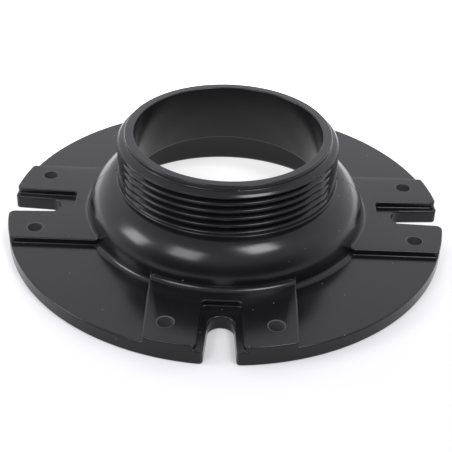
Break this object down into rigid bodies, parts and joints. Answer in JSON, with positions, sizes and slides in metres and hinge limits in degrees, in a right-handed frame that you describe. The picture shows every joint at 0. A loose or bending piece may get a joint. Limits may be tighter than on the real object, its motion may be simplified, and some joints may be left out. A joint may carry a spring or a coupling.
{
  "type": "toilet flange",
  "caption": "Round floor flange with a domed bell, a male-threaded collar, raised pads with screw holes, and open slots for closet bolts.",
  "frame": {"origin": "centre of the bell's mouth, on the flat floor face", "axes": "+Z along the drain axis from the floor face up to the threaded collar's rim; +X and +Y each run out through the middle of a bolt slot"},
  "size_m": [0.1788, 0.1788, 0.0444],
  "materials": {
    "black_abs": "satin black moulded ABS"
  },
  "bodies": {
    "root": {"threaded_collar": "black_abs", "bell": "black_abs", "mounting_disc": "black_abs", "bolt_pad_right": "black_abs", "bolt_pad_back": "black_abs", "bolt_pad_left": "black_abs", "bolt_pad_front": "black_abs"}
  },
  "joints": []
}
